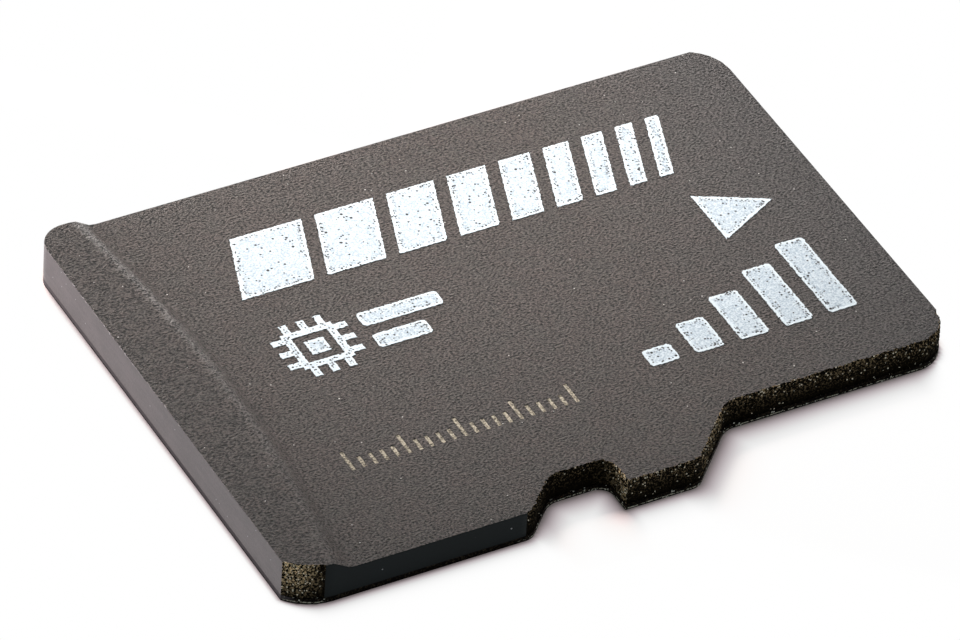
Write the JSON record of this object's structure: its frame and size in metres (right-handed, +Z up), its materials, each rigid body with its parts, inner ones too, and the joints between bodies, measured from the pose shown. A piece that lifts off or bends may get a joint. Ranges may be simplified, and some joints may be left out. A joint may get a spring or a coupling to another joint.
{
  "type": "flash memory card",
  "caption": "Flat memory card with a curved raised grip, a latch notch and a stepped side, moulded over a thin circuit board with gold contacts.",
  "frame": {"origin": "middle of the outline's box, on the underside that the card rests on", "axes": "+X along the card to its contact end, +Y across it to its straight side, +Z up out of its label face"},
  "size_m": [0.015, 0.011, 0.0009],
  "materials": {
    "mould_compound": "fine spark-eroded grain on moulded faces, smooth where sawn, rough where jet-cut",
    "solder_mask": "satin black mask over glass laminate",
    "contact_gold": "plated, satin",
    "bond_gold": "drawn wire",
    "copper": "etched foil",
    "silicon": "polished",
    "die_film": "cured film",
    "ceramic": "fired ceramic",
    "resistor_black": "glazed",
    "tin": "tinned",
    "ink": "pad-printed white ink with pinholes"
  },
  "bodies": {
    "root": {"mould_body": "mould_compound", "circuit_board": "solder_mask", "contact_1": "contact_gold", "contact_2": "contact_gold", "contact_3": "contact_gold", "contact_4": "contact_gold", "contact_5": "contact_gold", "contact_6": "contact_gold", "contact_7": "contact_gold", "contact_8": "contact_gold", "contact_vias": "copper", "controller_tracks": "copper", "flash_fingers": "contact_gold", "chip_pads": "copper", "lower_flash_film": "die_film", "lower_flash_die": "silicon", "upper_flash_film": "die_film", "upper_flash_die": "silicon", "controller_film": "die_film", "controller_die": "silicon", "lower_flash_wires": "bond_gold", "upper_flash_wires": "bond_gold", "controller_wires": "bond_gold", "supply_capacitor": "ceramic", "core_capacitor": "ceramic", "flash_capacitor": "ceramic", "pull_up_resistor": "resistor_black", "supply_capacitor_ends": "tin", "core_capacitor_ends": "tin", "flash_capacitor_ends": "tin", "pull_up_resistor_ends": "tin", "stripe_print": "ink", "chip_symbol_print": "ink", "rising_blocks_print": "ink", "insertion_arrow_print": "ink"}
  },
  "joints": []
}
